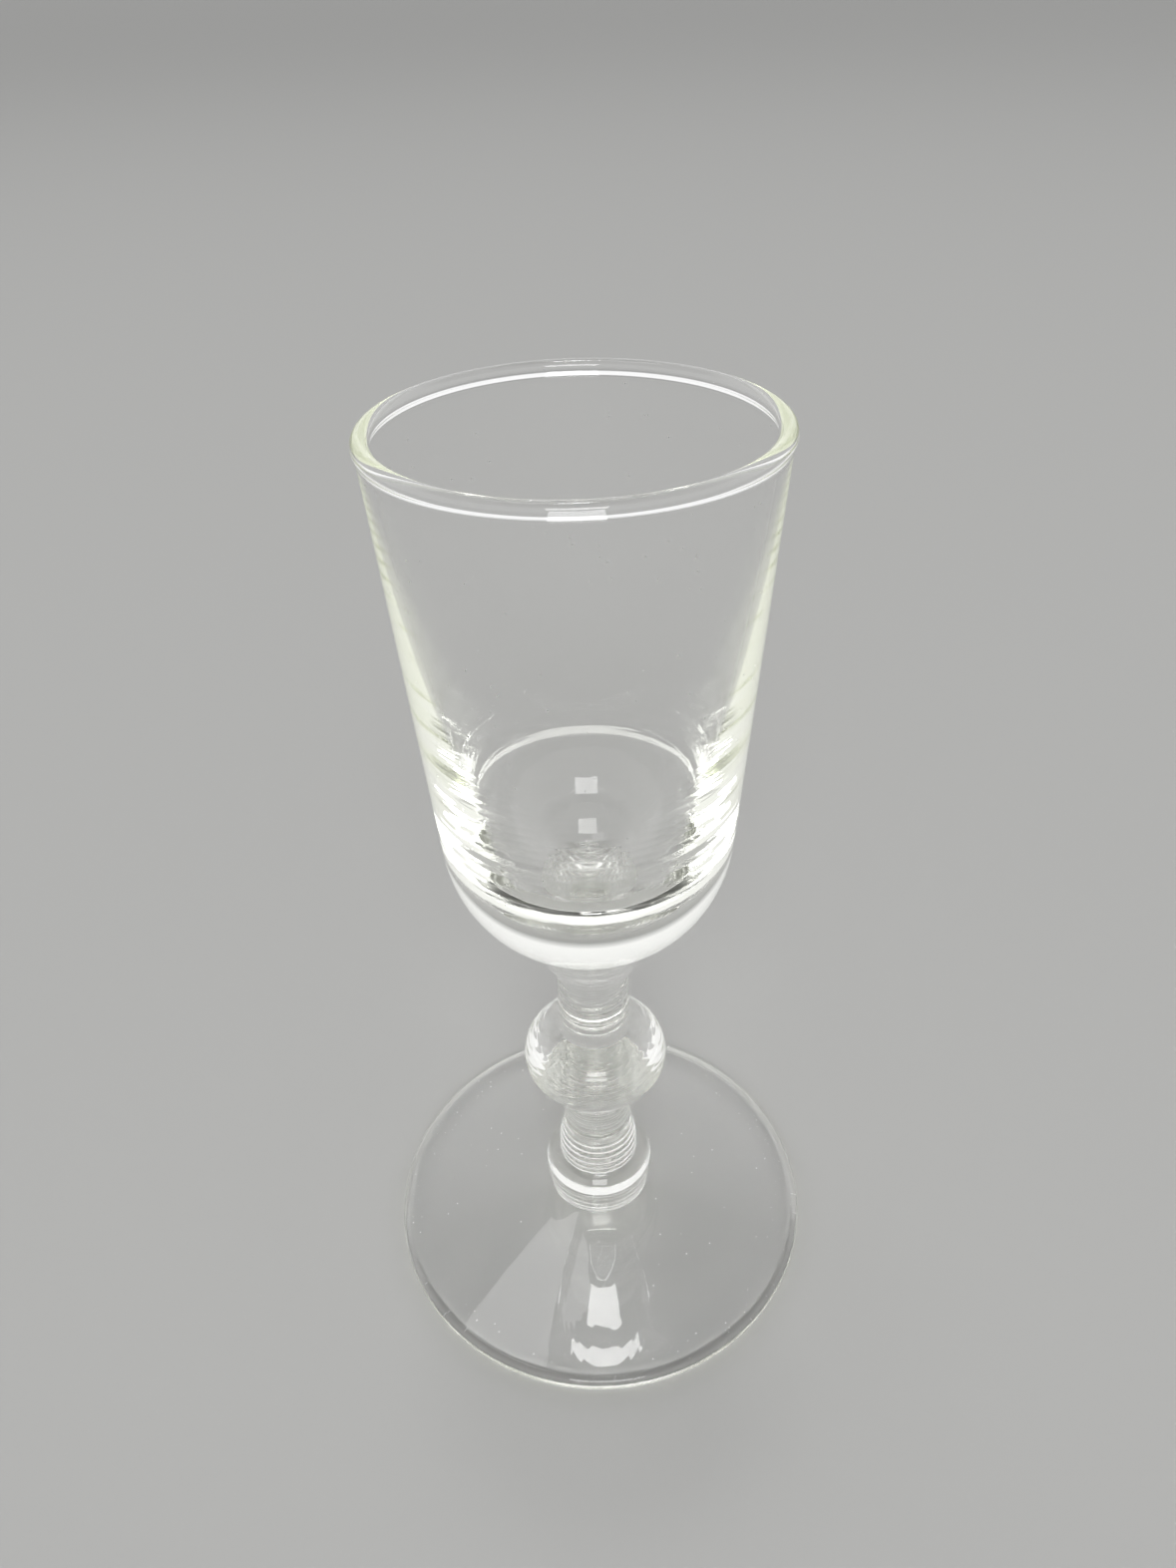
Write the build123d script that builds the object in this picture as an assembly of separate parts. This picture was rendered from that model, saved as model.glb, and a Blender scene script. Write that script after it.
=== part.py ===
from build123d import *
import os
from math import acos, atan2, cos, hypot, sin, sqrt

# A small stemmed cordial glass, built up from six gathers of clear glass fused end to end.
# All sizes are in millimetres. The glass stands on the plane z = 0 with its axis along +Z.
# Every outline below is drawn as (radius, height), with heights from the piece's own underside.

# Bowl: a tapered cup with a beaded rim, a thick round bottom and a round-ended hollow
rim_diameter = 35.8
bead_diameter = 1.56
bead_overhang = 0.2
wall_thickness = 1.0
bowl_height = 55.93
bowl_bottom_radius = 14.94
bowl_base_thickness = 7.4
hollow_bottom_radius = 12.1

# Upper stem: a plain neck that opens into a slightly swelled trumpet under the bowl
neck_diameter = 8.1
neck_height = 8.86
trumpet_height = 8.13
trumpet_swell = 0.14
bowl_joint_diameter = 15.0

# Knop: a flattened ball with both poles cut off where the stem joins it
knop_diameter = 16.92
knop_ball_height = 10.7

# Lower stem: a plain shank that stands on a gentle swelling
shank_diameter = 8.1
shank_height = 7.3
swelling_diameter = 9.8
swelling_height = 6.0

# Collar: the round-shouldered button between the stem and the foot
collar_diameter = 13.54
collar_height = 6.1
collar_belly_height = 3.5
foot_joint_diameter = 12.7

# Foot: a low cone with a rounded edge, slightly hollowed underneath
foot_diameter = 52.7
foot_height = 5.3
foot_edge_thickness = 1.9
foot_top_dip = 0.4
foot_hollow_depth = 0.9
bearing_ring_width = 2.4

# Radii that neighbouring pieces share at their joints
neck_radius = neck_diameter / 2
shank_radius = shank_diameter / 2
swelling_radius = swelling_diameter / 2
bowl_joint_radius = bowl_joint_diameter / 2
foot_joint_radius = foot_joint_diameter / 2

# How far the round bottom of the bowl sinks into the trumpet's dished end
bowl_joint_drop = bowl_bottom_radius - sqrt(bowl_bottom_radius**2 - bowl_joint_radius**2)


def knop_height_at(radius):
    """Height above or below the knop's middle at which its ball has this radius."""
    return knop_ball_height / 2 * sqrt(1 - (2 * radius / knop_diameter) ** 2)


knop_above = knop_height_at(neck_radius)
knop_below = knop_height_at(shank_radius)

# Where each piece stands, one on top of the other
collar_z = foot_height
lower_stem_z = collar_z + collar_height
knop_z = lower_stem_z + swelling_height + shank_height
upper_stem_z = knop_z + knop_below + knop_above
bowl_z = upper_stem_z + neck_height + trumpet_height - bowl_joint_drop


def on_circle(centre_height, radius, angle):
    """A point on a circle that is centred on the axis, with the angle in radians from the horizontal."""
    return (radius * cos(angle), centre_height + radius * sin(angle))


def dome(pole_height, end):
    """The arc that leaves the axis level at its pole and curves to its end."""
    return TangentArc((0, pole_height), end, tangent=(1, 0))


def turned(section, base_height):
    """The solid made by turning a section about the glass's axis, set at its height."""
    return Pos(0, 0, base_height) * revolve(Plane.XZ * section, axis=Axis.Z)


def bowl():
    """Tapered cup. Its wall leaves the round bottom without a corner and ends in the rim's bead."""
    bead_radius = bead_diameter / 2
    bead_height = bowl_height - bead_radius
    outer_top = (rim_diameter / 2 - bead_overhang, bead_height)
    inner_top = (outer_top[0] - wall_thickness, bead_height)

    # The straight wall touches the round bottom where the line from the rim is tangent to it
    rise = bead_height - bowl_bottom_radius
    reach = hypot(outer_top[0], rise)
    lean = atan2(rise, outer_top[0]) - acos(bowl_bottom_radius / reach)
    outer_low = on_circle(bowl_bottom_radius, bowl_bottom_radius, lean)

    # The hollow starts parallel to the wall and sweeps in to its round end on one long arc
    hollow_centre = bowl_base_thickness + hollow_bottom_radius
    inward = (-cos(lean), -sin(lean))
    wall_down = (sin(lean), -cos(lean))
    across = inner_top[0]
    above = bead_height - hollow_centre
    lead = across * inward[0] + above * inward[1]
    sweep = (hollow_bottom_radius**2 - across**2 - above**2) / (2 * (lead + hollow_bottom_radius))
    sweep_centre = (across + sweep * inward[0], bead_height + sweep * inward[1])
    end_angle = atan2(hollow_centre - sweep_centre[1], -sweep_centre[0])
    inner_low = on_circle(hollow_centre, hollow_bottom_radius, end_angle)

    outline = [
        dome(0, outer_low),
        Line(outer_low, outer_top),
        Line(outer_top, inner_top),
        TangentArc(inner_top, inner_low, tangent=wall_down),
        dome(bowl_base_thickness, inner_low),
        Line((0, bowl_base_thickness), (0, 0)),
    ]
    bead = Pos(rim_diameter / 2 - bead_radius, bead_height) * Circle(bead_radius)
    return turned(make_face(outline) + bead, bowl_z)


def upper_stem():
    """Neck with a trumpet end, dished to the round bottom of the bowl."""
    neck_top = (neck_radius, neck_height)
    trumpet_top = (bowl_joint_radius, neck_height + trumpet_height)
    dish_floor = neck_height + trumpet_height - bowl_joint_drop
    outline = [
        Line((0, 0), (neck_radius, 0)),
        Line((neck_radius, 0), neck_top),
        SagittaArc(trumpet_top, neck_top, trumpet_swell),
        dome(dish_floor, trumpet_top),
        Line((0, dish_floor), (0, 0)),
    ]
    return turned(make_face(outline), upper_stem_z)


def knop():
    """Flattened ball with a flat at each pole, as wide as the stem that is fused to it."""
    radius = knop_diameter / 2
    height = knop_below + knop_above
    ball = Pos(0, knop_below) * Ellipse(radius, knop_ball_height / 2)
    between_flats = Pos(radius / 2, height / 2) * Rectangle(radius, height)
    return turned(ball & between_flats, knop_z)


def lower_stem():
    """Shank on a swelling. The crease between them shows as a notch."""
    shank_foot = (shank_radius, swelling_height)
    shank_top = (shank_radius, swelling_height + shank_height)
    outline = [
        Line((0, 0), (swelling_radius, 0)),
        TangentArc((swelling_radius, 0), shank_foot, tangent=(0, 1)),
        Line(shank_foot, shank_top),
        Line(shank_top, (0, shank_top[1])),
        Line((0, shank_top[1]), (0, 0)),
    ]
    return turned(make_face(outline), lower_stem_z)


def collar():
    """Button with a round shoulder above its widest line and a slight draw-in below it."""
    belly = (collar_diameter / 2, collar_belly_height)
    outline = [
        Line((0, 0), (foot_joint_radius, 0)),
        TangentArc(belly, (foot_joint_radius, 0), tangent=(0, -1)),
        TangentArc(belly, (swelling_radius, collar_height), tangent=(0, 1)),
        Line((swelling_radius, collar_height), (0, collar_height)),
        Line((0, collar_height), (0, 0)),
    ]
    return turned(make_face(outline), collar_z)


def foot():
    """Low cone with a half-round edge. It stands on a flat ring just inside that edge."""
    edge_radius = foot_edge_thickness / 2
    edge_start = foot_diameter / 2 - edge_radius
    edge_middle = (foot_diameter / 2, edge_radius)
    edge_top = (edge_start, foot_edge_thickness)
    bearing_inside = (edge_start - bearing_ring_width, 0)
    outline = [
        dome(foot_hollow_depth, bearing_inside),
        Line(bearing_inside, (edge_start, 0)),
        ThreePointArc((edge_start, 0), edge_middle, edge_top),
        SagittaArc(edge_top, (foot_joint_radius, foot_height), foot_top_dip),
        Line((foot_joint_radius, foot_height), (0, foot_height)),
        Line((0, foot_height), (0, foot_hollow_depth)),
    ]
    return turned(make_face(outline), 0)


pieces = {
    "bowl": bowl(),
    "upper_stem": upper_stem(),
    "knop": knop(),
    "lower_stem": lower_stem(),
    "collar": collar(),
    "foot": foot(),
}

os.makedirs("parts", exist_ok=True)
for name, solid in pieces.items():
    export_step(solid, f"parts/{name}.step")
    box = solid.bounding_box()
    print(f"{name}: z {box.min.Z:.2f} to {box.max.Z:.2f}, diameter {box.size.X:.2f}, volume {solid.volume:.1f}")
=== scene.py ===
# %% [markdown]
# # A cordial glass on a knopped stem
# Clear glass has hardly any colour to paint. Nearly all of its look is shape: light bends wherever the
# skin curves, and the thick parts gather it into bright and dark lines. So this lesson spends its effort on
# drawing the right outline, turning it about an axis as on a potter's wheel, and letting the renderer bend
# the light. The frame comes first. It is the finished engineering model, and it gives the heights and widths
# used below.

# %% Load the frame
from math import acos, atan2, ceil, cos, degrees, hypot, pi, radians, sin, sqrt, tau

import bpy
import numpy as np
from mathutils import Matrix, Vector


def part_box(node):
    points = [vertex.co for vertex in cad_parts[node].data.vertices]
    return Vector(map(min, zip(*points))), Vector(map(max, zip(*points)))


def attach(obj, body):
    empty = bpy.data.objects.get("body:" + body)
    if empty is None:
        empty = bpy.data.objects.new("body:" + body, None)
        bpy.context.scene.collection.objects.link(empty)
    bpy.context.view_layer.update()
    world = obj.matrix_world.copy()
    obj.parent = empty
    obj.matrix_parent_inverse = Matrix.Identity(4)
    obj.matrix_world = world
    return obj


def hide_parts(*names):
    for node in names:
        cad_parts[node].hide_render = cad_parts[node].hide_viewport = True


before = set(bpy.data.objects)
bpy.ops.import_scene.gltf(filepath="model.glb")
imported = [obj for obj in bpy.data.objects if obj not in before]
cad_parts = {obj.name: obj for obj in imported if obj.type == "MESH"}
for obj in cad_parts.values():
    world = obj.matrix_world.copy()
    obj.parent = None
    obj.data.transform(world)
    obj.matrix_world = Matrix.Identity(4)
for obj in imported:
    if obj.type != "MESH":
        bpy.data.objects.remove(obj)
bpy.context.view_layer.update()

MM = 0.001


print("pieces in the frame:", ", ".join(sorted(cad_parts)))

# %% [markdown]
# ## The camera
# The photograph was taken from close by and from above, so the rim looks far wider than the foot. That look
# comes from the camera's distance, not from the glass, so the camera has to stand where the real one stood.
# A focal length in pixels turns into a lens by comparing it with the long side of the picture. The camera is
# first aimed level along +Y, then tipped down, then rolled a little, because the photograph leans.

# %% Camera
PHOTO_HEIGHT = 1572
FOCAL_PIXELS = 1110
SENSOR_WIDTH = 36
CAMERA_PLACE = Vector((0, -88.8, 133.6)) * MM
CAMERA_PITCH = 0.631
CAMERA_YAW = -0.002
CAMERA_ROLL = -0.033
NEAREST_SEEN = 5 * MM

camera_data = bpy.data.cameras.new("photo_camera")
camera_data.sensor_width = SENSOR_WIDTH
camera_data.lens = SENSOR_WIDTH * FOCAL_PIXELS / PHOTO_HEIGHT
camera_data.clip_start = NEAREST_SEEN
camera = bpy.data.objects.new("photo_camera", camera_data)
bpy.context.collection.objects.link(camera)
aim = Matrix.Rotation(CAMERA_YAW, 4, "Z") @ Matrix.Rotation(pi / 2 - CAMERA_PITCH, 4, "X")
camera.matrix_world = Matrix.Translation(CAMERA_PLACE) @ aim @ Matrix.Rotation(CAMERA_ROLL, 4, "Z")
bpy.context.scene.camera = camera
print("lens in mm:", round(camera_data.lens, 2))

# %% [markdown]
# ## Drawing an outline
# A turned piece needs only half of its outline, as points of radius and height. A Blender curve could hold
# it, but a few small functions are enough here and keep every size exact: one steps along a straight run,
# and others follow an arc. Arcs that share a direction where they meet join without a corner, which is how
# a glassmaker's outline flows.

# %% Straight runs and arcs
COARSE_STEP = 0.6 * MM
SKIN_STEP = 0.3 * MM
STEM_STEP = 0.12 * MM
FEWEST_ARC_POINTS = 9


def straight(start, end, step=SKIN_STEP):
    """Points from start to end, both included."""
    count = max(2, ceil(hypot(end[0] - start[0], end[1] - start[1]) / step) + 1)
    return np.linspace(start, end, count)


def arc(centre, radius, first, last, step=SKIN_STEP):
    """Points on a circle from one angle to another, in radians from the outward direction."""
    count = max(FEWEST_ARC_POINTS, ceil(abs(last - first) * radius / step) + 1)
    angles = np.linspace(first, last, count)
    return np.column_stack((centre[0] + radius * np.cos(angles), centre[1] + radius * np.sin(angles)))


def angle_from(centre, point):
    """The direction from centre to point, in radians from the outward direction."""
    return atan2(point[1] - centre[1], point[0] - centre[0])


def bend(start, heading, end, step=SKIN_STEP):
    """The arc that leaves start along heading and reaches end."""
    chord = np.subtract(end, start)
    heading = np.array(heading) / hypot(*heading)
    side = np.array((-heading[1], heading[0]))
    reach = chord @ chord / (2 * chord @ side)
    centre = np.add(start, reach * side)
    first = angle_from(centre, start)
    turn = 2 * atan2(chord @ side, chord @ heading)
    return arc(centre, abs(reach), first, first + turn, step)


def bow(start, end, dip, step=SKIN_STEP):
    """The arc from start to end that dips to the left of the straight line between them."""
    out, up = np.subtract(end, start)
    swing = 2 * atan2(2 * dip, hypot(out, up))
    heading = (out * cos(swing) - up * sin(swing), out * sin(swing) + up * cos(swing))
    return bend(start, heading, end, step)


def joined(*runs):
    """One line of points through several runs, without the points that neighbours share."""
    return np.vstack([runs[0]] + [run[1:] for run in runs[1:]])


print("an outline has a point every", SKIN_STEP / MM, "mm")

# %% [markdown]
# ## Soft creases
# Where two gathers of hot glass fuse, the crease between them fills in a little and never stays sharp. A
# bevel modifier could round it, but the crease lies between two separate pieces, so each has to carry its
# own half of the round. Here the corner is replaced by a small curve, cut in the middle: the lower piece
# ends on one half and the upper piece starts with the other.

# %% Rounding the crease between two runs
ROUND_STEPS = 8
CUT_MARGIN = 1.02


def distance_along(run):
    """How far each point of a run lies from its start, measured along the run."""
    return np.concatenate(([0], np.cumsum(np.hypot(*np.diff(run, axis=0).T))))


def cut_short(run, reach):
    """The run without the stretch of this length at its end, and the point where it was cut."""
    from_end = distance_along(run[::-1])[::-1]
    cut = np.array([np.interp(reach, from_end[::-1], axis[::-1]) for axis in run.T])
    return run[from_end > reach * CUT_MARGIN], cut


def soften(lower, upper, reach):
    """Rounds the corner where lower ends and upper starts, and gives each of them its half."""
    corner = lower[-1]
    lower_rest, lower_cut = cut_short(lower, reach)
    upper_rest, upper_cut = cut_short(upper[::-1], reach)
    t = np.linspace(0, 1, 2 * ROUND_STEPS + 1)[:, None]
    round_off = (1 - t) ** 2 * lower_cut + 2 * t * (1 - t) * corner + t**2 * upper_cut
    lower_soft = np.vstack((lower_rest, round_off[: ROUND_STEPS + 1]))
    upper_soft = np.vstack((round_off[ROUND_STEPS:], upper_rest[::-1]))
    return lower_soft, upper_soft


print("a rounded crease has", 2 * ROUND_STEPS, "steps")

# %% [markdown]
# ## The foot
# The foot is a low cone with a half-round edge, slightly dished on top. Underneath it is hollowed, so that
# the glass stands on a ring just inside the edge and never rocks. Its outline starts on the axis under the
# foot, runs out along the hollow and the ring, round the edge, and back up to the collar.

# %% Foot outline
FOOT_EDGE_THICKNESS = 1.9 * MM
FOOT_TOP_DIP = 0.4 * MM
FOOT_HOLLOW_DEPTH = 0.9 * MM
BEARING_RING_WIDTH = 2.4 * MM
RING_ROUND = 0.8 * MM
EDGE_STEP = 0.1 * MM
COLLAR_FOOT_RADIUS = 6.35 * MM

foot_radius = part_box("foot")[1].x
foot_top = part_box("foot")[1].z
edge_radius = FOOT_EDGE_THICKNESS / 2
edge_start = foot_radius - edge_radius
ring_inside = (edge_start - BEARING_RING_WIDTH, 0)

foot_hollow = bend((0, FOOT_HOLLOW_DEPTH), (1, 0), ring_inside, COARSE_STEP)
foot_ring = straight(ring_inside, (edge_start, 0))
foot_hollow, foot_ring = soften(foot_hollow, foot_ring, RING_ROUND)
foot_edge = arc((edge_start, edge_radius), edge_radius, -pi / 2, pi / 2, EDGE_STEP)
foot_slope = bow((edge_start, FOOT_EDGE_THICKNESS), (COLLAR_FOOT_RADIUS, foot_top), FOOT_TOP_DIP)
foot_skin = joined(foot_hollow, foot_ring, foot_edge, foot_slope)
print("foot radius and height in mm:", round(foot_radius / MM, 2), round(foot_top / MM, 2))

# %% [markdown]
# ## The stem
# From the foot up, the stem is a round-shouldered collar, a short shank on a gentle swelling, the knop, and
# a neck that opens into a slightly swelled trumpet to take the bowl. The knop is a flattened ball, so its
# outline is part of an ellipse. All the others are lines and arcs.

# %% Collar, swelling and shank
COLLAR_BELLY_HEIGHT = 3.5 * MM
SWELLING_HEIGHT = 6.0 * MM
STEM_RADIUS = 4.05 * MM

collar_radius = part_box("collar")[1].x
collar_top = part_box("collar")[1].z
swelling_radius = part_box("lower_stem")[1].x
shank_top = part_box("lower_stem")[1].z

collar_belly = (collar_radius, foot_top + COLLAR_BELLY_HEIGHT)
collar_draw_in = bend(collar_belly, (0, -1), (COLLAR_FOOT_RADIUS, foot_top), STEM_STEP)[::-1]
collar_shoulder = bend(collar_belly, (0, 1), (swelling_radius, collar_top), STEM_STEP)
collar_skin = joined(collar_draw_in, collar_shoulder)

shank_foot = (STEM_RADIUS, collar_top + SWELLING_HEIGHT)
swelling = bend((swelling_radius, collar_top), (0, 1), shank_foot, STEM_STEP)
shank = straight(shank_foot, (STEM_RADIUS, shank_top), STEM_STEP)
print("collar and shank end in mm at:", round(collar_top / MM, 2), round(shank_top / MM, 2))

# %% Knop, neck and trumpet
NECK_HEIGHT = 8.86 * MM
TRUMPET_SWELL = 0.14 * MM
KNOP_STEPS = 180

knop_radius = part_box("knop")[1].x
knop_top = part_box("knop")[1].z
trumpet_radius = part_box("upper_stem")[1].x
trumpet_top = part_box("upper_stem")[1].z

# The ball passes through the stem's radius at both ends, which sets how tall the whole ellipse would be
flat_angle = acos(STEM_RADIUS / knop_radius)
knop_angles = np.linspace(-flat_angle, flat_angle, KNOP_STEPS + 1)
knop_middle = (shank_top + knop_top) / 2
knop_half_height = (knop_top - shank_top) / 2 / sin(flat_angle)
knop_heights = knop_middle + knop_half_height * np.sin(knop_angles)
knop_skin = np.column_stack((knop_radius * np.cos(knop_angles), knop_heights))

neck_top = (STEM_RADIUS, knop_top + NECK_HEIGHT)
neck = straight((STEM_RADIUS, knop_top), neck_top, STEM_STEP)
trumpet = bow((trumpet_radius, trumpet_top), neck_top, TRUMPET_SWELL, STEM_STEP)[::-1]
print("knop and trumpet end in mm at:", round(knop_top / MM, 2), round(trumpet_top / MM, 2))

# %% [markdown]
# ## The bowl
# The outside of the bowl is part of a ball at the bottom, a straight wall that leans out a little, and a
# rolled bead at the rim. The hollow is shorter than the outside: it starts parallel to the wall, sweeps in
# on one long arc and ends round, far above the stem. The plug of solid glass that this leaves is what makes
# a cordial look heavy and bright at the bottom, so the hollow is drawn with as much care as the outside.

# %% Outside of the bowl and its rim
BOWL_BOTTOM_RADIUS = 14.94 * MM
WALL_THICKNESS = 1.0 * MM
BEAD_RADIUS = 0.78 * MM
BEAD_OVERHANG = 0.2 * MM
BEAD_STEP = 0.08 * MM

bowl_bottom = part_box("bowl")[0].z
rim_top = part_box("bowl")[1].z
rim_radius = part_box("bowl")[1].x
bead_centre = np.array((rim_radius - BEAD_RADIUS, rim_top - BEAD_RADIUS))
outer_top = np.array((rim_radius - BEAD_OVERHANG, bead_centre[1]))
inner_top = outer_top - (WALL_THICKNESS, 0)

# The wall touches the ball where the line down from the rim is tangent to it
ball_height = bowl_bottom + BOWL_BOTTOM_RADIUS
rise = outer_top[1] - ball_height
touch = atan2(rise, outer_top[0]) - acos(BOWL_BOTTOM_RADIUS / hypot(outer_top[0], rise))
wall_up = np.array((-sin(touch), cos(touch)))
wall_in = np.array((-cos(touch), -sin(touch)))


def meets_bead(point):
    """Where the line that runs up the wall through a point first meets the rim's bead."""
    to_point = point - bead_centre
    along = to_point @ wall_up
    return point - (along + sqrt(along**2 - to_point @ to_point + BEAD_RADIUS**2)) * wall_up


outer_meet = meets_bead(outer_top)
inner_meet = meets_bead(inner_top)
joint_angle = angle_from((0, ball_height), (trumpet_radius, trumpet_top))
bowl_ball = arc((0, ball_height), BOWL_BOTTOM_RADIUS, joint_angle, touch)
bowl_wall = straight(bowl_ball[-1], outer_meet, COARSE_STEP)
bead_first = angle_from(bead_centre, outer_meet)
bead_last = angle_from(bead_centre, inner_meet) + tau
bead = arc(bead_centre, BEAD_RADIUS, bead_first, bead_last, BEAD_STEP)
print("the wall leans out by", round(degrees(-touch), 2), "degrees")

# %% [markdown]
# The hollow is drawn from the rim down. It is cut in two at the height where the real one stops being quite
# smooth, because the lower run gets a finish of its own below.

# %% The hollow
BOWL_BASE_THICKNESS = 7.4 * MM
HOLLOW_BOTTOM_RADIUS = 12.1 * MM
HOLLOW_STEP = 0.14 * MM
RINGS_HIGH = 84 * MM

hollow_centre = (0, bowl_bottom + BOWL_BASE_THICKNESS + HOLLOW_BOTTOM_RADIUS)
from_hollow = inner_top - hollow_centre
lead = from_hollow @ wall_in + HOLLOW_BOTTOM_RADIUS
sweep = (HOLLOW_BOTTOM_RADIUS**2 - from_hollow @ from_hollow) / (2 * lead)
sweep_centre = inner_top + sweep * wall_in
sweep_last = angle_from(sweep_centre, hollow_centre)
sweep_first = angle_from(sweep_centre, inner_meet)
sweep_rings = np.arcsin((RINGS_HIGH - sweep_centre[1]) / sweep)
hollow_high = arc(sweep_centre, sweep, sweep_first, sweep_rings, COARSE_STEP)
hollow_low = joined(
    arc(sweep_centre, sweep, sweep_rings, sweep_last, HOLLOW_STEP),
    arc(hollow_centre, HOLLOW_BOTTOM_RADIUS, sweep_last, -pi / 2, HOLLOW_STEP),
)
hollow_low[-1, 0] = 0
print("the hollow sweeps in on a radius of", round(sweep / MM), "mm")

# %% [markdown]
# With every outline drawn, the creases can be rounded. Each call takes the run below a crease and the run
# above it. The creases under the shank and above the neck lie inside one piece, so their two halves are
# joined again.

# %% Round every crease
FOOT_ROUND = 0.35 * MM
COLLAR_ROUND = 0.25 * MM
NOTCH_ROUND = 0.25 * MM
KNOP_ROUND = 0.25 * MM
NECK_ROUND = 0.4 * MM
TRUMPET_ROUND = 0.2 * MM
BEAD_ROUND = 0.5 * MM

foot_skin, collar_skin = soften(foot_skin, collar_skin, FOOT_ROUND)
collar_skin, swelling = soften(collar_skin, swelling, COLLAR_ROUND)
lower_stem_skin = joined(*soften(swelling, shank, NOTCH_ROUND))
lower_stem_skin, knop_skin = soften(lower_stem_skin, knop_skin, KNOP_ROUND)
upper_stem_skin = joined(*soften(neck, trumpet, NECK_ROUND))
knop_skin, upper_stem_skin = soften(knop_skin, upper_stem_skin, KNOP_ROUND)
upper_stem_skin, bowl_skin = soften(upper_stem_skin, joined(bowl_ball, bowl_wall), TRUMPET_ROUND)
bowl_skin, bead = soften(bowl_skin, bead, BEAD_ROUND)
bead, hollow_high = soften(bead, hollow_high, BEAD_ROUND)
stem_runs = (collar_skin, lower_stem_skin, knop_skin, upper_stem_skin)
print("points on the stem's outline:", sum(len(run) for run in stem_runs))

# %% [markdown]
# ## Tool rings
# Low in the hollow and all along the stem, fine level rings run round the glass, about a millimetre apart,
# left by the tools that shaped it. They are very shallow, but glass bends light at the smallest slope, so
# they show as thin lines: fans at both sides of the hollow, and close arcs across the neck, knop and
# swelling. A bump map could hint at them. Here they are real rings in the outline: hundredths of a
# millimetre high on the stem, and only thousandths in the hollow, which is smoother. Each ring is a low
# round crown between two narrow grooves, and the spacing drifts a little. The rings fade out at the ends of
# a run, so neighbours still meet, and the bottom of the hollow stays smooth.

# %% Raise the rings
RING_SPACING = 0.95 * MM
RING_FADE = 0.8 * MM
SHANK_RING_HEIGHT = 0.055 * MM
NECK_RING_HEIGHT = 0.034 * MM
KNOP_RING_HEIGHT = 0.018 * MM
COLLAR_RING_HEIGHT = 0.012 * MM
HOLLOW_RING_SPACING = 0.92 * MM
HOLLOW_RING_HEIGHT = 0.0024 * MM
WALL_FADE = 10 * MM
BOTTOM_FADE = 18 * MM
RING_DRIFT = 0.15
RING_DRIFT_SPAN = 4.3


def ringed(run, spacing, height, first_fade, last_fade):
    """The run with rings raised square to it, which fade out over a length at its first and last end."""
    along = distance_along(run)
    way = np.gradient(run, along, axis=0)
    outward = np.column_stack((way[:, 1], -way[:, 0]))
    from_ends = np.clip(np.minimum(along / first_fade, (along[-1] - along) / last_fade), 0, 1)
    phase = tau * along / spacing
    drift = RING_DRIFT * np.sin(phase / RING_DRIFT_SPAN)
    rings = 2 * np.abs(np.sin(phase / 2 + drift)) - 1
    return run + outward * (height * np.sin(from_ends * pi / 2) ** 2 * rings)[:, None]


hollow_low = ringed(hollow_low, HOLLOW_RING_SPACING, HOLLOW_RING_HEIGHT, WALL_FADE, BOTTOM_FADE)
collar_skin = ringed(collar_skin, RING_SPACING, COLLAR_RING_HEIGHT, RING_FADE, RING_FADE)
lower_stem_skin = ringed(lower_stem_skin, RING_SPACING, SHANK_RING_HEIGHT, RING_FADE, RING_FADE)
knop_skin = ringed(knop_skin, RING_SPACING, KNOP_RING_HEIGHT, RING_FADE, RING_FADE)
upper_stem_skin = ringed(upper_stem_skin, RING_SPACING, NECK_RING_HEIGHT, RING_FADE, RING_FADE)
bowl_skin = joined(bowl_skin, bead, hollow_high, hollow_low)
print("rings on the knop:", round(distance_along(knop_skin)[-1] / RING_SPACING))

# %% [markdown]
# ## The maker's hand
# Nothing made hot is perfectly round. The stem's skin wanders by a few thousandths of a millimetre, which is
# enough to make the lines inside it shiver, and along two sides, where the halves of its mould met, it is
# pebbled. A Displace modifier with a cloud texture could do this. A sum of a dozen or so crossing waves is
# simpler to control: it depends only on where a point is, so two pieces that share an edge stay together.

# %% Crossing waves
WAVE_COUNT = 14
SLOW_WAVE_LENGTHS = (2.2 * MM, 7 * MM)
PEBBLE_LENGTHS = (0.7 * MM, 1.5 * MM)
HAND_SEED = 11

hand = np.random.default_rng(HAND_SEED)


def crossing_waves(shortest, longest):
    """A function that gives each point a smooth random number, mostly within one of zero."""
    ways = hand.normal(size=(WAVE_COUNT, 3))
    ways /= np.linalg.norm(ways, axis=1)[:, None]
    lengths = np.geomspace(shortest, longest, WAVE_COUNT)
    starts = hand.uniform(0, tau, WAVE_COUNT)

    def height_at(points):
        total = np.zeros(points.shape[:-1])
        for way, length, start in zip(ways, lengths, starts):
            total += np.sin(tau * (points @ way) / length + start)
        return total / sqrt(WAVE_COUNT / 2)

    return height_at


slow_waves = crossing_waves(*SLOW_WAVE_LENGTHS)
pebbles = crossing_waves(*PEBBLE_LENGTHS)
print("waves of", WAVE_COUNT, "lengths, down to", round(PEBBLE_LENGTHS[0] / MM, 2), "mm")

# %% A skin that wanders
STEM_WANDER = 0.004 * MM
BOWL_WANDER = 0.0002 * MM
FOOT_WANDER = 0.004 * MM
BOWL_SETTLES = 6 * MM
SEAM_WAY = radians(-42)
SEAM_WIDTH = 1.1 * MM
SEAM_PEBBLES = 0.010 * MM


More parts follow.
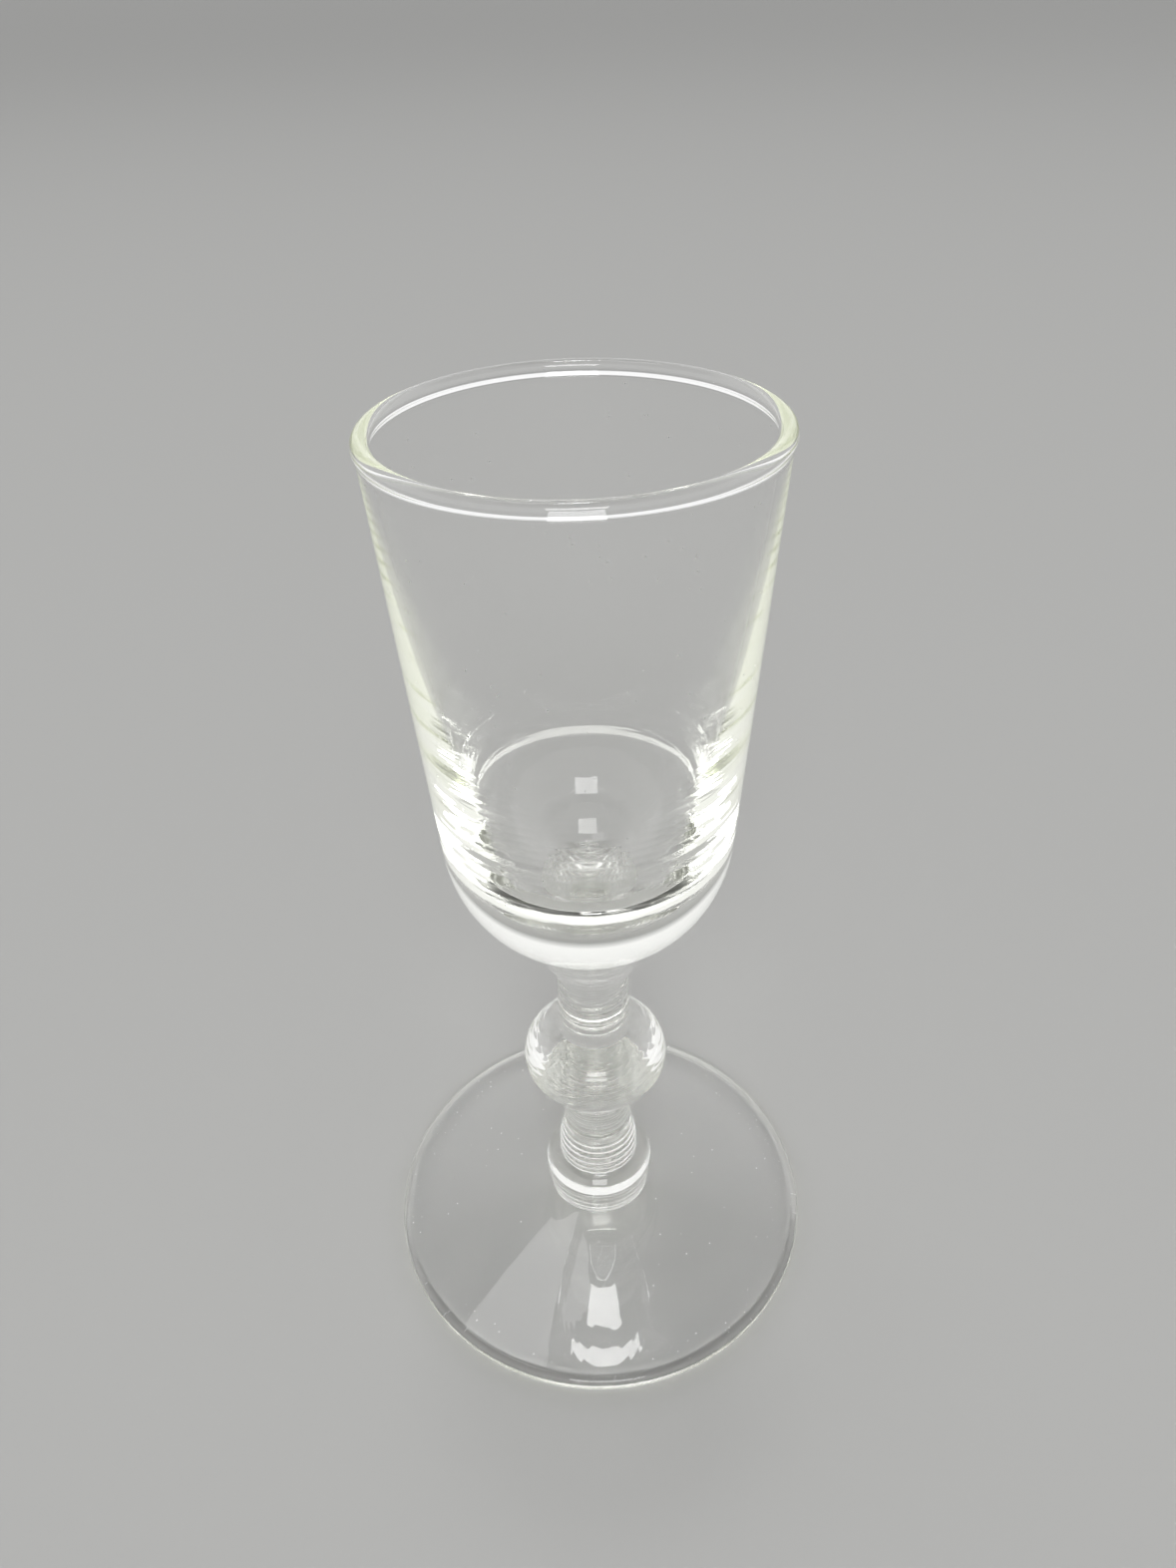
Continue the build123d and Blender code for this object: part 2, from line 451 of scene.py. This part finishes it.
def wander(points):
    """How far the skin stands out at each point, by its height and its distance from the seams."""
    height = points[..., 2]
    levels = [0, foot_top, collar_top, trumpet_top, trumpet_top + BOWL_SETTLES, rim_top]
    amounts = [FOOT_WANDER, FOOT_WANDER, STEM_WANDER, STEM_WANDER, BOWL_WANDER, BOWL_WANDER]
    swing = np.arctan2(points[..., 1], points[..., 0]) - SEAM_WAY
    off_seam = np.hypot(points[..., 0], points[..., 1]) * np.abs((swing + pi / 2) % pi - pi / 2)
    on_stem = np.interp(height, [foot_top, collar_top, neck_top[1], trumpet_top], [0, 1, 1, 0])
    pebbled = SEAM_PEBBLES * on_stem * np.exp(-((off_seam / SEAM_WIDTH) ** 2))
    return slow_waves(points) * np.interp(height, levels, amounts) + pebbles(points) * pebbled


print("two seams, pebbled over a width of", 2 * SEAM_WIDTH / MM, "mm")

# %% [markdown]
# ## Turning the pieces
# Blender's Screw modifier can turn an outline. Building the mesh directly gives two more things: each ring
# can follow the maker's hand, and each face can say whether it is skin or lies inside a fused joint. The
# pieces are closed meshes that meet on these inner faces. Light has to cross a fused joint as if it were not
# there, so the faces carry a number, `fused`, which the glass reads later. A gap of a few thousandths of a
# millimetre keeps the two faces of a joint apart, so that a ray always meets both.

# %% Close an outline across its joints
JOINT_GAP = 0.002 * MM
LEVEL_WITHIN = 1e-9


def across(edge, height):
    """The inner face of a joint, from the skin's edge to the axis at the given height."""
    if abs(edge[1] - height) < LEVEL_WITHIN:
        return straight(edge, (0, height), COARSE_STEP)
    return bend((0, height), (1, 0), edge, COARSE_STEP)[::-1]


def closed_outline(under, skin, over):
    """The skin between the inner faces of its joints, and for each step whether it lies in a joint."""
    runs = [skin]
    fused = [np.zeros(len(skin) - 1)]
    if under is not None:
        lifted = under[::-1] + (0, JOINT_GAP)
        lifted[-1] = skin[0]
        runs.insert(0, lifted)
        fused.insert(0, np.ones(len(under) - 1))
    if over is not None:
        lowered = over - (0, JOINT_GAP)
        lowered[0] = skin[-1]
        runs.append(lowered)
        fused.append(np.ones(len(over) - 1))
    return joined(*runs), np.concatenate(fused)


print("fused faces lie", 2 * JOINT_GAP / MM, "mm apart")

# %% Points and faces of a turned piece
SEGMENTS = 176


def turned_points(outline, fused):
    """A ring for each point of the outline, moved by the maker's hand on the skin, then the two poles."""
    rings = outline[1:-1]
    angles = np.arange(SEGMENTS) * tau / SEGMENTS
    round_ways = np.column_stack((np.cos(angles), np.sin(angles), np.zeros(SEGMENTS)))
    points = rings[:, None, :1] * round_ways + rings[:, None, 1:] * (0, 0, 1)
    on_skin = (np.minimum(fused[:-1], fused[1:]) == 0)[:, None]
    points += (wander(points) * on_skin)[..., None] * round_ways
    poles = [(0, 0, outline[0, 1]), (0, 0, outline[-1, 1])]
    return np.vstack((points.reshape(-1, 3), poles))


def turned_faces(ring_count):
    """Four-sided faces from ring to ring, and a fan of triangles to the pole at each end."""
    here = np.arange(SEGMENTS)
    after = (here + 1) % SEGMENTS
    first_pole = ring_count * SEGMENTS
    last_ring = first_pole - SEGMENTS
    faces = [(first_pole, b, a) for a, b in zip(here, after)]
    for low in range(0, last_ring, SEGMENTS):
        high = low + SEGMENTS
        faces += [(low + a, low + b, high + b, high + a) for a, b in zip(here, after)]
    faces += [(last_ring + a, last_ring + b, first_pole + 1) for a, b in zip(here, after)]
    return faces


print("each ring has", SEGMENTS, "points")

# %% Turn the six pieces


def mark_joints(mesh, fused):
    """Gives each face its number, and keeps the edge between skin and joint sharp."""
    mesh.attributes.new("fused", "FLOAT", "FACE").data.foreach_set("value", np.repeat(fused, SEGMENTS))
    edge_rings = set(np.flatnonzero(np.diff(fused)).tolist())
    ends = np.array([edge.vertices for edge in mesh.edges]) // SEGMENTS
    sharp = [low == high and low in edge_rings for low, high in ends.tolist()]
    mesh.attributes.new("sharp_edge", "BOOLEAN", "EDGE").data.foreach_set("value", sharp)


def turned(name, under, skin, over):
    """A closed mesh turned from an outline. Under and over are the inner faces of its joints, or None."""
    outline, fused = closed_outline(under, skin, over)
    mesh = bpy.data.meshes.new(name)
    mesh.from_pydata(turned_points(outline, fused).tolist(), [], turned_faces(len(outline) - 2))
    mesh.shade_smooth()
    mark_joints(mesh, fused)
    piece = bpy.data.objects.new(name, mesh)
    bpy.context.collection.objects.link(piece)
    print(name, "has", len(mesh.polygons), "faces")
    return piece


collar_floor = across(collar_skin[0], collar_skin[0, 1])
swelling_floor = across(lower_stem_skin[0], lower_stem_skin[0, 1])
knop_floor = across(knop_skin[0], knop_skin[0, 1])
neck_floor = across(upper_stem_skin[0], upper_stem_skin[0, 1])
bowl_dish = across(bowl_skin[0], bowl_bottom)

pieces = {
    "foot": turned("clear_foot", None, foot_skin, collar_floor),
    "collar": turned("clear_collar", collar_floor, collar_skin, swelling_floor),
    "lower_stem": turned("clear_lower_stem", swelling_floor, lower_stem_skin, knop_floor),
    "knop": turned("clear_knop", knop_floor, knop_skin, neck_floor),
    "upper_stem": turned("clear_upper_stem", neck_floor, upper_stem_skin, bowl_dish),
    "bowl": turned("clear_bowl", bowl_dish, bowl_skin, None),
}

# %% [markdown]
# ## Clear glass
# The glass is colourless at a glance, but its thick edges look faintly yellow-green, because light travels
# far inside them. A tinted surface would colour thin and thick parts alike, so the tint is a Volume
# Absorption: the further a ray runs inside, the more it is coloured. The skin is fire-polished, with no
# roughness of its own. What dulls it is use: faint wipe marks, specks of dust, and fine scuffs on the ring
# that the glass stands on. Four small helpers keep the node trees short to write.

# %% Helpers for node trees


def add(tree, kind, **settings):
    """A new node, with its settings given by name and its inputs by their labels, with _ for a space."""
    made = tree.nodes.new(kind)
    for name, value in settings.items():
        label = name.replace("_", " ")
        if label in made.inputs:
            made.inputs[label].default_value = value
        else:
            setattr(made, name, value)
    return made


def combine(tree, operation, first, second):
    """The result of a Math node that takes two sockets or numbers."""
    made = add(tree, "ShaderNodeMath", operation=operation)
    for slot, value in zip(made.inputs, (first, second)):
        if isinstance(value, (int, float)):
            slot.default_value = value
        else:
            tree.links.new(value, slot)
    return made.outputs[0]


def fade(tree, value, low, high, at_low, at_high):
    """The result of a Map Range node, from one number to another as value goes from low to high."""
    made = add(tree, "ShaderNodeMapRange", From_Min=low, From_Max=high, To_Min=at_low, To_Max=at_high)
    tree.links.new(value, made.inputs["Value"])
    return made.outputs["Result"]


def texture(tree, kind, place, **settings):
    """A texture node that is read at the given place."""
    made = add(tree, kind, **settings)
    tree.links.new(place, made.inputs["Vector"])
    return made


print("node helpers:", ", ".join(helper.__name__ for helper in (add, combine, fade, texture)))

# %% Marks of use
WIPE_CLOUDS = {"Scale": 70, "Detail": 5, "Roughness": 0.65}
WIPE_FROM, WIPE_FULL = 0.56, 0.72
WIPE_DULLNESS = 0.035
DUST_SCALE = 800
SPECK_CORE, SPECK_EDGE = 0.05, 0.10
DUSTED_FROM, DUSTED_FULL = 0.72, 0.73
DUST_DULLNESS = 0.45
SCUFF_GRAIN = {"Scale": 2600, "Detail": 3, "Roughness": 0.6}
SCUFF_FROM, SCUFF_FULL = 0.58, 0.70
SCUFF_DULLNESS = 0.3
RING_CONTACT, RING_CLEAR = 0.02 * MM, 0.10 * MM


def wipe_marks(tree, place):
    """Faint cloudy marks left by a cloth."""
    clouds = texture(tree, "ShaderNodeTexNoise", place, **WIPE_CLOUDS)
    return fade(tree, clouds.outputs["Fac"], WIPE_FROM, WIPE_FULL, 0, WIPE_DULLNESS)


def dust_specks(tree, place):
    """Fine specks in some of the cells of a Voronoi texture, chosen by the cell's random colour."""
    cells = texture(tree, "ShaderNodeTexVoronoi", place, Scale=DUST_SCALE)
    speck = fade(tree, cells.outputs["Distance"], SPECK_CORE, SPECK_EDGE, 1, 0)
    chosen = fade(tree, cells.outputs["Color"], DUSTED_FROM, DUSTED_FULL, 0, DUST_DULLNESS)
    return combine(tree, "MULTIPLY", speck, chosen)


def ring_scuffs(tree, place):
    """Scuffs on the lowest skin of the foot, where it meets the table."""
    apart = add(tree, "ShaderNodeSeparateXYZ")
    tree.links.new(place, apart.inputs[0])
    grain = texture(tree, "ShaderNodeTexNoise", place, **SCUFF_GRAIN)
    on_ring = fade(tree, apart.outputs["Z"], RING_CONTACT, RING_CLEAR, 1, 0)
    scuffed = fade(tree, grain.outputs["Fac"], SCUFF_FROM, SCUFF_FULL, 0, SCUFF_DULLNESS)
    return combine(tree, "MULTIPLY", on_ring, scuffed)


print("marks at their dullest:", WIPE_DULLNESS, DUST_DULLNESS, SCUFF_DULLNESS)

# %% [markdown]
# Hot glass is drawn upwards as it is worked, which leaves streaks far too faint to feel. They are a bump a
# thousandth of a millimetre high. The face number `fused` does the rest: on the inner faces of the joints it
# brings the index of refraction down to that of air, and takes the marks and streaks away.

# %% The glass material
GLASS_INDEX = 1.5
AIR_INDEX = 1.0
STREAK_STRETCH = (1, 1, 0.12)
STREAK_SCALE = 420
STREAK_HEIGHT = 0.001 * MM
TINT_COLOUR = (0.92, 0.95, 0.78, 1)
TINT_DENSITY = 7.5


def drawn_streaks(tree, place, skin_only):
    """A normal tipped by faint streaks that run up the glass."""
    stretched = add(tree, "ShaderNodeMapping", Scale=STREAK_STRETCH)
    tree.links.new(place, stretched.inputs["Vector"])
    streaks = texture(tree, "ShaderNodeTexNoise", stretched.outputs["Vector"], Scale=STREAK_SCALE, Detail=2)
    relief = add(tree, "ShaderNodeBump", Strength=1, Distance=STREAK_HEIGHT)
    tree.links.new(combine(tree, "MULTIPLY", streaks.outputs["Fac"], skin_only), relief.inputs["Height"])
    return relief.outputs["Normal"]


def clear_glass(name, worn_ring=False):
    """Polished glass with marks of use, and scuffs where it stands if it has a worn ring."""
    material = bpy.data.materials.new(name)
    material.use_nodes = True
    tree = material.node_tree
    skin = tree.nodes["Principled BSDF"]
    skin.inputs["Base Color"].default_value = (1, 1, 1, 1)
    skin.inputs["Transmission Weight"].default_value = 1
    place = add(tree, "ShaderNodeTexCoord").outputs["Object"]
    fused = add(tree, "ShaderNodeAttribute", attribute_name="fused").outputs["Fac"]
    skin_only = combine(tree, "SUBTRACT", 1, fused)

    dull = combine(tree, "MAXIMUM", wipe_marks(tree, place), dust_specks(tree, place))
    if worn_ring:
        dull = combine(tree, "MAXIMUM", dull, ring_scuffs(tree, place))
    tree.links.new(combine(tree, "MULTIPLY", dull, skin_only), skin.inputs["Roughness"])
    tree.links.new(fade(tree, fused, 0, 1, GLASS_INDEX, AIR_INDEX), skin.inputs["IOR"])
    tree.links.new(drawn_streaks(tree, place, skin_only), skin.inputs["Normal"])

    tint = add(tree, "ShaderNodeVolumeAbsorption", Color=TINT_COLOUR, Density=TINT_DENSITY)
    tree.links.new(tint.outputs["Volume"], tree.nodes["Material Output"].inputs["Volume"])
    print(name, "has", len(tree.nodes), "nodes")
    return material


polished_glass = clear_glass("polished_glass")
foot_glass = clear_glass("foot_glass", worn_ring=True)

# %% [markdown]
# ## Placing the pieces
# Each turned piece stands for one node of the frame, rides on the frame's only body, and takes the glass.

# %% Ride on the frame
for node, piece in pieces.items():
    piece.data.materials.append(foot_glass if node == "foot" else polished_glass)
    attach(piece, "root")
    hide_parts(node)
print("dressed:", ", ".join(pieces))

# %% [markdown]
# ## Floor and light
# Glass shows its surroundings, so the room matters as much as the glass. In an even white room it would all
# but vanish: it needs something bright and something dark to bend. So the room is dim overhead, with one
# bright band low down all round, which the solid bottom of the bowl gathers into its glow and which edges
# the walls with light. In front of the glass and behind it the band reaches higher. The floor is a pale
# disc that runs on far past the glass, and the band starts at about the floor's own level, so the horizon
# stays soft.

# %% Floor
FLOOR_RADIUS = 60
FLOOR_COLOUR = (0.48, 0.48, 0.47, 1)
FLOOR_ROUGHNESS = 0.9
FLOOR_DROP = 0.02 * MM
FLOOR_SEGMENTS = 96

floor_angles = np.arange(FLOOR_SEGMENTS) * tau / FLOOR_SEGMENTS
floor_mesh = bpy.data.meshes.new("floor")
floor_points = [(FLOOR_RADIUS * cos(a), FLOOR_RADIUS * sin(a), -FLOOR_DROP) for a in floor_angles]
floor_mesh.from_pydata(floor_points, [], [range(FLOOR_SEGMENTS)])
floor = bpy.data.objects.new("floor", floor_mesh)
bpy.context.collection.objects.link(floor)
floor_paint = bpy.data.materials.new("pale_floor")
floor_paint.use_nodes = True
floor_skin = floor_paint.node_tree.nodes["Principled BSDF"]
floor_skin.inputs["Base Color"].default_value = FLOOR_COLOUR
floor_skin.inputs["Roughness"].default_value = FLOOR_ROUGHNESS
floor_mesh.materials.append(floor_paint)
print("floor colour:", FLOOR_COLOUR[:3])

# %% The room's bright band
HORIZON_LEVEL = 0.36
DIM_LEVEL = 0.08
BAND_START = 0.08
BAND_END = 0.60
BAND_BLUR = 0.15
BAND_LIFT = 0.10
LIFT_FROM, LIFT_FULL = 0.2, 0.5

world = bpy.data.worlds.new("soft_room")
world.use_nodes = True
room = world.node_tree
room_way = add(room, "ShaderNodeSeparateXYZ")
room.links.new(add(room, "ShaderNodeTexCoord").outputs["Generated"], room_way.inputs[0])
upward = room_way.outputs["Z"]
ahead = combine(room, "ABSOLUTE", room_way.outputs["Y"], 0)
lift = fade(room, ahead, LIFT_FROM, LIFT_FULL, 0, BAND_LIFT)
lowered = combine(room, "SUBTRACT", upward, lift)
lower_edge = fade(room, upward, 0, BAND_START, HORIZON_LEVEL, 1)
upper_edge = fade(room, lowered, BAND_END, BAND_END + BAND_BLUR, 1, DIM_LEVEL)
backdrop = room.nodes["Background"]
backdrop.inputs["Color"].default_value = (1, 1, 1, 1)
room.links.new(combine(room, "MULTIPLY", lower_edge, upper_edge), backdrop.inputs["Strength"])
bpy.context.scene.world = world
print("the room's band is bright from", BAND_START, "to", BAND_END, "of the way up")

# %% [markdown]
# Most of the lamps' light comes from a large panel high in front. Besides lighting the floor, it shows twice
# as a small square in the bottom of the hollow and gathers in the corners of the bowl. Two small panes, high
# above and a little behind, draw the crisp window-like highlights on the front of the foot. A fainter panel
# beside them lays a pale sheen on the left of the foot. Places and sizes are in metres, power in watts.

# %% Lamps
GLASS_MIDDLE = Vector((0, 0, 50 * MM))


def panel(name, place, width, height, power):
    """A rectangular lamp that faces the middle of the glass."""
    data = bpy.data.lights.new(name, "AREA")
    data.shape = "RECTANGLE"
    data.size = width
    data.size_y = height
    data.energy = power
    lamp = bpy.data.objects.new(name, data)
    lamp.location = place
    lamp.rotation_euler = (GLASS_MIDDLE - lamp.location).to_track_quat("-Z", "Y").to_euler()
    lamp.visible_camera = False
    bpy.context.collection.objects.link(lamp)
    return lamp


lamps = [
    panel("front_panel", place=(0, -1.6, 1.5), width=1.0, height=0.7, power=16),
    panel("upper_pane", place=(0, 0.41, 2.0), width=0.22, height=0.13, power=2.2),
    panel("lower_pane", place=(0, 0.57, 2.0), width=0.34, height=0.05, power=1.3),
    panel("sheen_panel", place=(-0.42, 0.47, 2.1), width=0.42, height=0.55, power=1.6),
]
print("lamps:", ", ".join(lamp.name for lamp in lamps))

# %% [markdown]
# Light that enters the wall at its edge is caught inside. It runs round the bowl, bouncing scores of times,
# before it finds its way out, and it comes out faintly tinted: that is what makes the wall's edges and the
# rim look cream. With the usual limits on bounces these edges would turn dark, so the limits are raised. The
# light that reaches the floor through the foot is kept sharp, or the floor under it would turn grey.

# %% Enough bounces for glass
GLASS_BOUNCES = 128

cycles = bpy.context.scene.cycles
cycles.max_bounces = GLASS_BOUNCES
cycles.transmission_bounces = GLASS_BOUNCES
cycles.glossy_bounces = GLASS_BOUNCES
cycles.blur_glossy = 0
bpy.context.scene.view_settings.view_transform = "Standard"
print("bounces:", GLASS_BOUNCES)
